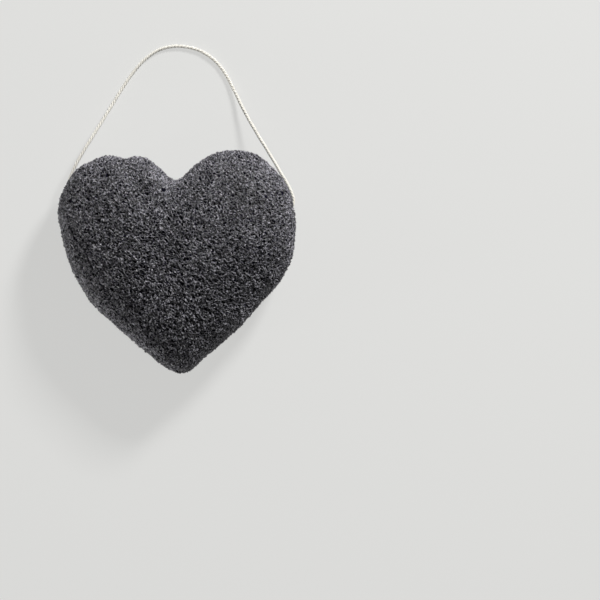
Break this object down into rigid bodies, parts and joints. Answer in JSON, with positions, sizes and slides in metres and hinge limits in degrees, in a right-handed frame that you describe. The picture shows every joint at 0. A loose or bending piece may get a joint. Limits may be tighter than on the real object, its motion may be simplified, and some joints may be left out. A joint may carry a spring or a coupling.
{
  "type": "konjac sponge",
  "caption": "Heart-shaped black konjac facial sponge with a crowned front and flat back, and a white cotton hanging loop threaded through it from flank to flank.",
  "frame": {"origin": "middle of the sponge's flat back, under the middle of its outline", "axes": "+Z out of the crowned front, +Y from the tip towards the lobes and the loop, +X to the right seen from the front"},
  "size_m": [0.0834, 0.1145, 0.028],
  "materials": {
    "konjac_foam": "open-cell konjac gel foam with charcoal, freeze-dried and slightly moist",
    "cotton_cord": "twisted cotton, matt"
  },
  "bodies": {
    "sponge": {"sponge_body": "konjac_foam"},
    "string": {"hang_loop": "cotton_cord", "left_string_end": "cotton_cord", "right_string_end": "cotton_cord"}
  },
  "joints": [
    {"name": "loop_swing", "type": "hinge", "parent": "sponge", "child": "string", "pos_m": [0, 0.0195, 0.012], "axis": [1, 0, 0], "range_deg": [-60, 105]}
  ]
}
